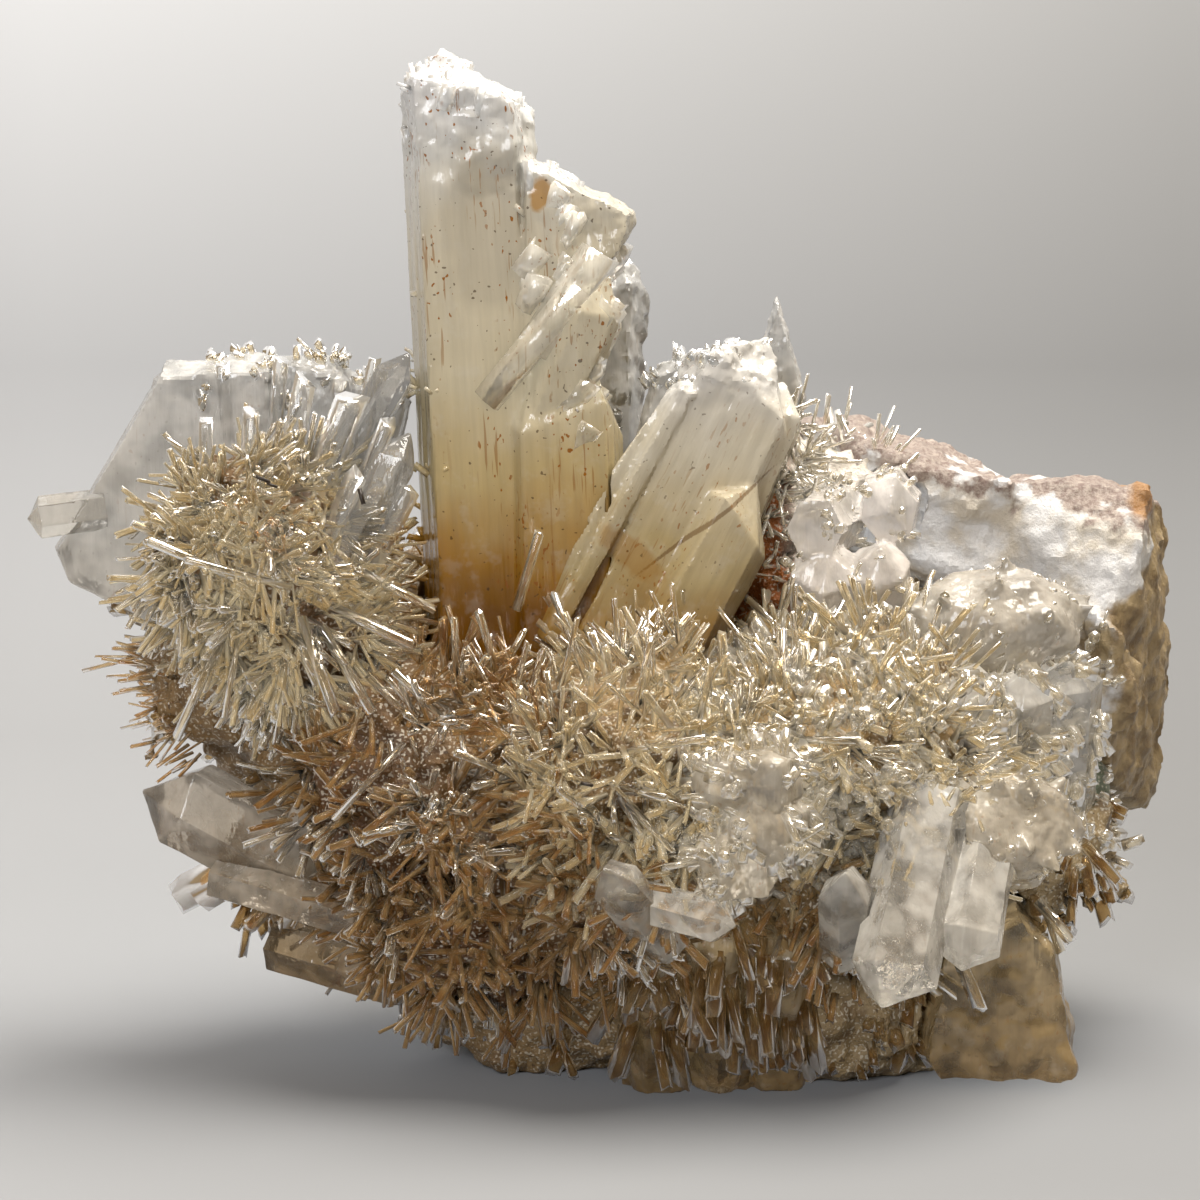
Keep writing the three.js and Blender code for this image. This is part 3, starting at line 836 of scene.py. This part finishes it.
def planted(name, growth, material, slot, nodes, seed, point=0.7):
    """One mesh of many crystals. growth holds arrays: foot and way in millimetres, length and width."""
    random = np.random.default_rng(seed)
    foot, way, length, width = growth
    tips = foot + way * length[:, None]
    kept = ((tips > BOX_LOW + TIP_MARGIN) & (tips < BOX_HIGH - TIP_MARGIN)).all(1)
    foot, way, length, width = foot[kept], way[kept], length[kept], width[kept]
    count = len(foot)
    helper = np.where(np.abs(way[:, 2:3]) > 0.9, [[1.0, 0, 0]], [[0, 0, 1.0]])
    side = unit(np.cross(way, helper))
    other = np.cross(way, side)
    turn = random.uniform(0, 2 * math.pi, count)[:, None]
    across = side * np.cos(turn) + other * np.sin(turn)
    deep = np.cross(way, across)
    is_shoulder = np.abs(pattern_points[:, 2] - SHOULDER) < 0.1
    is_tip = pattern_points[:, 2] > TIP - 0.1
    off_centre = random.uniform(-0.2, 0.2, (count, 1)) * width[:, None]
    x = pattern_points[:, 0] * width[:, None] + np.where(is_tip, off_centre, 0)
    y = pattern_points[:, 1] * width[:, None] * random.uniform(0.6, 1.0, (count, 1))
    drop = random.uniform(0.5, 1.5, (count, len(pattern_points))) * point * width[:, None]
    up = np.where(is_tip, length[:, None], 0) + np.where(is_shoulder, length[:, None] - drop, 0)
    points = foot[:, None] + x[..., None] * across[:, None] + y[..., None] * deep[:, None]
    points = points + up[..., None] * way[:, None]
    faces = (pattern_faces[None] + np.arange(count)[:, None, None] * len(pattern_points)).reshape(-1, 3)
    mesh = bpy.data.meshes.new(name)
    mesh.vertices.add(points.shape[0] * points.shape[1])
    mesh.loops.add(faces.size)
    mesh.loops.foreach_set("vertex_index", faces.ravel())
    mesh.polygons.add(len(faces))
    mesh.polygons.foreach_set("loop_start", np.arange(0, faces.size, 3))
    piece = bpy.data.objects.new(name, mesh)
    put_points(piece, points.reshape(-1, 3))
    mesh.update(calc_edges=True)
    piece.visible_shadow = False
    bpy.context.collection.objects.link(piece)
    return dressed(piece, material, slot, *nodes)


def spots(piece, count, seed, keep):
    """Random points on a piece with their normals, in millimetres, where keep(points, normals) says yes."""
    random = np.random.default_rng(seed)
    mesh = piece.data
    mesh.calc_loop_triangles()
    corners = np.empty(len(mesh.loop_triangles) * 3, dtype=np.int32)
    mesh.loop_triangles.foreach_get("vertices", corners)
    a, b, c = points_of(piece)[corners.reshape(-1, 3)].transpose(1, 0, 2)
    crosses = np.cross(b - a, c - a)
    normals = unit(crosses)
    weight = np.where(keep((a + b + c) / 3, normals), np.linalg.norm(crosses, axis=1), 0)
    chosen = random.choice(len(weight), count, p=weight / weight.sum())
    u, v = np.sqrt(random.random(count)), random.random(count)
    mix = np.stack([1 - u, u * (1 - v), u * v], 1)
    points = a[chosen] * mix[:, :1] + b[chosen] * mix[:, 1:2] + c[chosen] * mix[:, 2:]
    return points, normals[chosen]


def sprays(places, each, seed, length, width, splay, reach, lean=(0, 0, 0), bury=1.5, tilt=0.35):
    """Bundles of crystals that fan out from each place. each, length and width are ranges."""
    random = np.random.default_rng(seed)
    points, normals = places
    counts = random.integers(each[0], each[1] + 1, len(points))
    main = unit(normals + np.array(lean) + tilt * random.normal(size=points.shape))
    owner = np.repeat(np.arange(len(points)), counts)
    total = len(owner)
    fan = random.normal(size=(total, 3)) * splay
    way = unit(main[owner] + fan)
    foot = points[owner] + reach * (fan + 0.5 * random.normal(size=(total, 3))) - way * bury
    size = random.uniform(0.7, 1.15, len(points))[owner]
    long = random.uniform(*length, total) * size + bury
    return foot, way, long, random.uniform(*width, total)


def sprays_on(
    piece, keep, count, seed, each, length, width, splay, reach, lean=(0, 0, 0), bury=1.5, tilt=0.35
):
    """Sprays at count random places on a piece, all where keep says yes."""
    places = spots(piece, count, seed, keep)
    return sprays(places, each, seed + 1, length, width, splay, reach, lean, bury, tilt)


def by_hand(crystals):
    """Crystals that are placed one by one: foot, tip and width in millimetres."""
    feet = np.array([foot for foot, tip, width in crystals], dtype=float)
    tips = np.array([tip for foot, tip, width in crystals], dtype=float)
    lengths = np.linalg.norm(tips - feet, axis=1)
    return feet, unit(tips - feet), lengths, np.array([width for foot, tip, width in crystals], dtype=float)


def together(*growths):
    return tuple(np.concatenate(parts) for parts in zip(*growths))


# %% [markdown]
# The crust over the front is a carpet of sprays. Its needles are amber on the left and low down, and darker
# there with painted shade; they are paler and clearer to the upper right, and they hang where the crust
# overhangs.


# %% Needles of the crust
def upper_front(points, normals):
    return (normals @ np.array([0, -0.75, 0.65]) > -0.15) & (points[:, 2] > 46)


def lower_front(points, normals):
    return (normals[:, 1] < 0.15) & (points[:, 2] <= 50) & (points[:, 2] > 14)


# Where the amber needles grow: iron-tinted, and darker there as painted shade.
def stained_and_shaded_part(points, normals):
    return (normals[:, 1] < 0.3) & (points[:, 0] + 0.9 * (points[:, 2] - 60) < 6)


def pale_part(points, normals):
    return upper_front(points, normals) & (points[:, 0] > -12)


CRUST = ["needle_crust"]
long_needles = together(
    sprays_on(crust, upper_front, 70, 11, (5, 11), (8, 15), (0.9, 1.7), 0.5, 2.2, lean=(0, -0.2, 0.4)),
    sprays_on(crust, lower_front, 34, 13, (4, 9), (7, 13), (0.9, 1.7), 0.45, 2.2, lean=(0, -0.2, -0.7)),
)
planted("crust_long_needles", long_needles, clear_needle, "stained_needles", CRUST, 15)
pale_growth = sprays_on(
    crust, pale_part, 270, 21, (5, 10), (5, 13), (0.8, 2.0), 0.75, 3.0, lean=(0, -0.2, 0.2), tilt=0.8
)
planted("crust_pale_needles", pale_growth, hazy_needle, "stained_needles", CRUST, 23)
amber_growth = together(
    sprays_on(
        crust, stained_and_shaded_part, 190, 31, (5, 10), (6, 14), (0.8, 1.9), 0.6, 3.0, lean=(-0.1, -0.2, 0), tilt=0.6
    ),
    sprays_on(
        crust, lower_front, 70, 33, (5, 9), (6, 12), (1.0, 2.1), 0.5, 3.0, lean=(0, -0.2, -0.5), tilt=0.5
    ),
)
planted("crust_amber_needles", amber_growth, amber_needle, "stained_needles", CRUST, 35)


# %% Needles of the ball
def ball_face(points, normals):
    return (normals @ np.array([0.35, -0.85, -0.35]) > -0.3) & (
        points[:, 0] - 0.5 * (points[:, 2] - 105) > -90
    )


BALL = ["left_needle_ball"]
ball_growth = sprays_on(
    ball, ball_face, 80, 41, (5, 10), (8, 15), (0.9, 1.8), 0.3, 1.8, lean=(0.35, -0.1, -0.3), tilt=0.2
)
planted("ball_long_needles", ball_growth, clear_needle, "clear_quartz", BALL, 43)
ball_filling = sprays_on(
    ball, ball_face, 210, 44, (6, 11), (6, 14), (0.6, 1.5), 0.35, 2.4, lean=(0.3, -0.1, -0.25), tilt=0.35
)
planted("ball_short_needles", ball_filling, hazy_needle, "clear_quartz", BALL, 46)

# %% [markdown]
# Some needles stand out from the crowd, and they are set one by one: the bright pair across the ball, the
# stray ones over the carpet and the thick blunt ones on the ball's right. Small clear crystals crowd round
# the bright crystal.

# %% Needles set one by one
stray_needles = [
    ((-66, -20, 104), (-87, -27, 114.5), 2.0),
    ((-60, -20, 104), (-80, -28, 111), 1.7),
    ((-74, -20, 93), (-82, -30, 75), 2.0),
    ((-70, -20, 96), (-72, -32, 80), 1.6),
    ((-54, -19, 96), (-43, -30, 80), 2.4),
    ((-52, -19, 100), (-34, -27, 93), 2.6),
    ((-58, -20, 98), (-50, -32, 80), 2.4),
    ((-46, -15, 106), (-31, -20, 99), 2.0),
    ((-16.5, -10, 98), (-11.5, -14, 115), 2.6),
    ((-20, -16, 86), (-23.5, -26, 101), 1.8),
    ((1, -34, 74), (20.5, -46, 80), 1.6),
    ((6, -28, 76), (9.8, -36, 97.5), 1.8),
    ((36, -30, 76), (50, -44, 79), 1.7),
    ((-2, -26, 86), (-9.5, -20, 104), 1.9),
    ((-8, -26, 84), (-4, -30, 101), 1.5),
    ((2, -26, 86), (-2, -31, 98), 1.6),
    ((24, -30, 70), (40, -44, 72), 1.4),
    ((-38, -24, 74), (-52, -32, 60), 1.6),
    ((-30, -22, 78), (-40, -30, 90), 1.6),
    ((70, -16, 32), (75, -29, 20), 3.2),
    ((88, -8, 38), (95, -14, 30), 3.4),
    ((90, -6, 36), (93, -12, 27), 2.6),
]
planted("stray_needles", by_hand(stray_needles), clear_needle, "clear_quartz", CRUST + BALL, 71)
clear_company = [
    ((-58, -5, 116), (-47, -8, 143), 6.5),
    ((-50, -7, 114), (-40, -9, 138), 5.5),
    ((-63, 0, 120), (-57, -3, 146), 5.0),
    ((-70, -4, 118), (-68, -8, 139), 4.0),
    ((-55, -9, 108), (-46, -14, 128), 5.0),
    ((-45, -8, 106), (-36, -10, 124), 4.5),
    ((-78, -3, 116), (-77, -8, 137), 3.6),
    ((-65, 3, 126), (-63, 2, 148), 3.4),
    ((-74, 4, 126), (-75, 3, 147), 3.0),
    ((-49, 3, 126), (-44, 3, 149), 4.0),
]
planted("clear_company", by_hand(clear_company), glass_quartz, "clear_quartz", ["bright_crystal"], 72)
black_specks = [
    ((-67, -20, 126), (-63, -21, 124.5), 0.8),
    ((-64, -21, 124.5), (-61.5, -21, 123.5), 0.9),
    ((-46.5, -18, 123), (-45.5, -19, 119.5), 0.9),
    ((17.5, -44, 69), (19.5, -45, 67), 1.8),
    ((-4, -40, 70), (-1, -41, 69.5), 0.8),
]
yellow_points = [
    ((-72, 10, 42), (-91, 8, 32.5), 8.5),
    ((-70, 4, 42), (-84, 0, 34), 6.0),
    ((-60, -6, 38), (-62.5, -12, 31), 6.5),
    ((-66, 4, 36), (-74, 0, 28), 5.0),
]
planted("yellow_points", by_hand(yellow_points), rusty_needle, "massive_quartz", ["quartz_matrix"], 73)
planted("black_specks", by_hand(black_specks), dark_ore, "massive_quartz", CRUST + BALL, 76)
amber_tuft = (
    np.array([[-66, -17, 118], [-61, -18, 115], [-63, -18, 110]], dtype=float),
    unit(np.array([[-0.3, -1, 0.6]] * 3)),
)
tuft_growth = sprays(amber_tuft, (8, 12), 77, (3, 8), (0.6, 1.2), 0.5, 3.0, tilt=0.2)
planted("amber_tuft", tuft_growth, rusty_needle, "clear_quartz", BALL, 78)
rust_places = (
    np.array([[-90, 6, 82], [-89, 4, 78], [-87, 6, 72], [-84, 2, 68], [-90, 3, 86]], dtype=float),
    unit(
        np.array([[-1, -0.2, 0.15], [-1, -0.5, -0.05], [-1, -0.3, -0.3], [-0.8, -0.5, -0.6], [-1, -0.4, 0.3]])
    ),
)
rust_growth = sprays(rust_places, (9, 14), 74, (5, 11), (0.6, 1.1), 0.28, 4.0, tilt=0.05)
planted("rusty_needles", rust_growth, rusty_needle, "massive_quartz", ["quartz_matrix"], 75)

# %% [markdown]
# Druse is a skin of stubby crystals, all about one size, standing on the ground side by side. On a big
# crystal they stand parallel with it, because they carry on its lattice.


# %% Druse on the big crystals
def cap_part(points, normals):
    return (tower_cap(points) > 0.6) & (points[:, 2] > 181) & (normals[:, 2] > 0.3)


def tower_left(points, normals):
    return (normals[:, 0] < -0.5) & (points[:, 2] > 100)


tower_druse = sprays_on(
    tower, tower_left, 26, 83, (1, 3), (1.5, 4.5), (0.6, 1.5), 0.6, 1.5, lean=(0, 0, 1.0), bury=1
)
planted("tower_druse", tower_druse, tower_quartz, "milky_quartz", ["tower_crystal"], 85, point=0.6)

cap_growth = sprays_on(
    tower, cap_part, 70, 81, (1, 2), (0.3, 2.2), (1.6, 4.6), 0.12, 0.5, lean=(0, 0, 4.0), bury=5, tilt=0.3
)
planted("tower_cap_crystals", cap_growth, cap_quartz, "milky_quartz", ["tower_crystal"], 89, point=0.45)


def shoulder_part(points, normals):
    return (points[:, 0] > -13) & (points[:, 2] > 135) & (normals[:, 1] < 0.3)


lying_prisms = [
    ((-22.5, 0, 138), (-2, -2.5, 163), 6.5),
    ((-13, 1, 148), (2, -1, 170), 8.5),
    ((-8, 2, 142), (4, -1, 160), 7.5),
]
shoulder_growth = together(
    by_hand(lying_prisms),
    sprays_on(
        tower, shoulder_part, 26, 86, (1, 2), (0.3, 2.0), (3.5, 8.0), 0.08, 1.0, lean=(2.2, -0.4, 3.4),
        bury=9, tilt=0.15,
    ),
)
planted(
    "shoulder_crystals", shoulder_growth, shoulder_quartz, "milky_quartz", ["tower_crystal"], 88, point=0.4
)


def above(height):
    return lambda points, normals: points[:, 2] > height


edge_druse = together(
    sprays_on(
        back_crystal, above(128), 24, 91, (1, 2), (0.5, 2), (1.5, 3.6), 0.2, 1.0, lean=(0.3, 0, 1.5), bury=3
    ),
    sprays_on(
        back_plate, above(138), 40, 93, (1, 3), (1, 3), (1.0, 2.6), 0.3, 1.0, lean=(0, 0, 1.5), bury=2
    ),
    sprays_on(
        leaning, above(140), 30, 95, (1, 2), (0.4, 1.6), (1.4, 3.6), 0.2, 1.0, lean=(1.0, 0, 1.6), bury=3
    ),
)
EDGE_NODES = ["tower_back_crystal", "pale_back_plate", "leaning_crystals"]
planted("edge_druse", edge_druse, glass_quartz, "milky_quartz", EDGE_NODES, 97, point=0.6)


def plate_rim(points, normals):
    return (points[:, 2] > 136) & (points[:, 0] > -86)


rim_growth = sprays_on(
    left_plate, plate_rim, 36, 101, (1, 3), (1.5, 5), (1.2, 3.0), 0.35, 2.0, lean=(0, -0.3, 1.6), bury=1.5
)
planted("left_rim_needles", rim_growth, clear_needle, "clear_quartz", ["left_crystal"], 103)


# %% Druse on the boulders and over the right side
def forward(points, normals):
    return normals @ np.array([0, -0.9, 0.3]) > -0.3


sugar = together(
    sprays_on(upper_boulder, forward, 160, 51, (1, 2), (0.1, 0.5), (0.9, 2.4), 0.3, 0.8, bury=1.6),
    sprays_on(lower_boulder, forward, 160, 53, (1, 2), (0.1, 0.5), (0.9, 2.4), 0.3, 0.8, bury=1.6),
)
planted(
    "boulder_druse", sugar, white_druse, "milky_quartz", ["upper_drusy_boulder", "lower_drusy_boulder"], 55
)


def chunky_right(points, normals):
    return upper_front(points, normals) & (points[:, 0] > 16)


def wall_front(points, normals):
    return (normals[:, 1] < -0.3) & (points[:, 0] < 102) & (points[:, 2] > 60) & (points[:, 2] < 100)


def fringe(points, normals):
    return (points[:, 0] > 84) & (points[:, 2] > 20) & (normals[:, 1] < 0.3)


chunks = together(
    sprays_on(crust, chunky_right, 330, 61, (3, 6), (2.5, 7), (1.5, 3.6), 0.45, 2.5, lean=(0, -0.2, 0.3)),
    sprays_on(white_group, forward, 80, 63, (2, 4), (1.5, 5.5), (1.4, 3.8), 0.4, 1.5, bury=2.5),
    sprays_on(
        columns, forward, 110, 65, (1, 3), (1, 6), (1.6, 4.2), 0.3, 1.5, lean=(0, -0.3, -0.8), bury=3
    ),
    sprays_on(pocket_group, above(100), 60, 67, (1, 2), (0.5, 2.5), (1.2, 2.8), 0.3, 1.5, bury=1.5),
)
CHUNK_NODES = ["needle_crust", "drusy_white_group", "side_columns", "pocket_crystals"]
planted("chunky_druse", chunks, white_druse, "milky_quartz", CHUNK_NODES, 69, point=0.6)
wall_growth = together(
    sprays_on(wall, wall_front, 90, 111, (2, 5), (1, 4.5), (0.9, 2.6), 0.5, 2.0, lean=(-0.1, -0.2, 0.2)),
    sprays_on(matrix, fringe, 160, 113, (2, 4), (1.5, 5), (1.4, 3.4), 0.4, 2.0, lean=(0.3, 0, -0.3)),
)
planted("wall_druse", wall_growth, white_druse, "massive_quartz", ["quartz_block", "quartz_matrix"], 115)


# %% Needles in the amber pocket and in the hollow above it
def pocket_face(points, normals):
    return normals[:, 1] < -0.1


def hollow_above(points, normals):
    return pocket_face(points, normals) & (points[:, 0] + 0.5 * (points[:, 2] - 108) > 34)


pocket_growth = together(
    sprays_on(pocket, hollow_above, 60, 121, (5, 9), (4, 11), (0.6, 1.4), 0.6, 2.0, lean=(0.1, -0.5, 0.4)),
    sprays_on(pocket, pocket_face, 16, 124, (2, 4), (5, 12), (0.8, 1.8), 0.4, 2.0, lean=(0.1, -0.4, 0.6)),
)
planted("pocket_needles", pocket_growth, white_druse, "clear_quartz", ["quartz_matrix"], 123)


# %% Hanging crystals at the foot, and the back
def foot_front(points, normals):
    return (normals[:, 1] < 0.0) & (points[:, 2] < 46)


def back_side(points, normals):
    return (normals[:, 1] > -0.2) & (points[:, 2] > 6)


foot_growth = together(
    sprays_on(
        foot_group, foot_front, 80, 131, (1, 3), (5, 14), (2.4, 4.6), 0.14, 2.5, lean=(0, -0.2, -2.6),
        bury=3, tilt=0.15,
    ),
    sprays_on(
        matrix, foot_front, 200, 133, (1, 3), (3, 10), (1.8, 4.2), 0.25, 2.5, lean=(0, -0.3, -1.6), bury=2,
        tilt=0.2,
    ),
)
planted("foot_crystals", foot_growth, shaded_druse, "milky_quartz", ["foot_columns", "quartz_matrix"], 135)
back_growth = sprays_on(matrix, back_side, 420, 141, (1, 4), (2, 6), (1.5, 4.2), 0.4, 2.5)
planted("back_crystals", back_growth, shaded_druse, "massive_quartz", ["quartz_matrix"], 143)

# %% [markdown]
# The stage is one pale floor that bends up behind the cluster. It is painted darker to the right and low
# down, as painted shade. It can be seen through from its back, so that the back of the cluster can be
# looked at too. A broad soft lamp hangs over the cluster, a little to the right and behind, and a weaker one
# fills the front. Few bounces and no caustics keep the picture quick to make.

# %% Floor, lamps and air
FLOOR_HALF_WIDTH = 1.2
FLOOR_FRONT = -1.3
BEND_START = 0.16
BEND_RADIUS = 0.12
FLOOR_TOP = 1.1
bend = [
    (BEND_START + BEND_RADIUS * math.sin(turn), BEND_RADIUS * (1 - math.cos(turn)))
    for turn in np.linspace(0, math.radians(88), 12)
]
profile = [(FLOOR_FRONT, 0.0), *bend, (bend[-1][0] + 0.03, FLOOR_TOP)]
floor_mesh = bpy.data.meshes.new("floor")
floor_points = [(side * FLOOR_HALF_WIDTH, y, z) for y, z in profile for side in (-1, 1)]
floor_faces = [(2 * i, 2 * i + 1, 2 * i + 3, 2 * i + 2) for i in range(len(profile) - 1)]
floor_mesh.from_pydata(floor_points, [], floor_faces)
floor_mesh.shade_smooth()
floor = bpy.data.objects.new("floor", floor_mesh)
bpy.context.collection.objects.link(floor)
floor_material, tree, where = new_material("pale_matt_floor")
split = add(tree, "SeparateXYZ", {"Vector": where})
# Painted shade: the floor is darker to the right and low down.
shade = mixed(tree, mapped(tree, split.outputs["X"], -0.16, 0.16), linear("#ecf0f5"), linear("#b0b2b4"))
shade = painted(tree, shade, mapped(tree, split.outputs["Z"], 0.24, 0.02), 0.7, "#858688")
matt = add(tree, "BsdfDiffuse", {"Color": shade})
behind = add(tree, "NewGeometry").outputs["Backfacing"]
see_through = add(tree, "BsdfTransparent")
sides = add(tree, "MixShader", {"Fac": behind})
tree.links.new(matt.outputs["BSDF"], sides.inputs[1])
tree.links.new(see_through.outputs["BSDF"], sides.inputs[2])
add(tree, "OutputMaterial", {"Surface": sides.outputs["Shader"]})
floor.data.materials.append(floor_material)


def lamp(name, location, target, size, watts, colour):
    data = bpy.data.lights.new(name, "AREA")
    data.shape = "DISK"
    data.size = size
    data.energy = watts
    data.color = linear(colour)[:3]
    made = bpy.data.objects.new(name, data)
    made.location = location
    made.rotation_euler = (Vector(target) - Vector(location)).to_track_quat("-Z", "Y").to_euler()
    bpy.context.collection.objects.link(made)


LIT_PLACE = (0.0, 0.0, 0.08)
lamp("overhead_lamp", (0.2, 0.06, 0.8), LIT_PLACE, 0.55, 9.6, "#fffaf2")
lamp("front_fill", (-0.4, -0.85, 0.65), LIT_PLACE, 0.5, 5.3, "#f8faff")
world = bpy.data.worlds.new("soft_air")
world.use_nodes = True
world.node_tree.nodes["Background"].inputs["Color"].default_value = linear("#f3d4a8")
world.node_tree.nodes["Background"].inputs["Strength"].default_value = 0.31
bpy.context.scene.world = world
light = bpy.context.scene.cycles
light.max_bounces = 4
light.diffuse_bounces = 1
light.glossy_bounces = 2
light.transmission_bounces = 4
light.caustics_refractive = False
light.caustics_reflective = False
bpy.context.scene.view_settings.view_transform = "Standard"
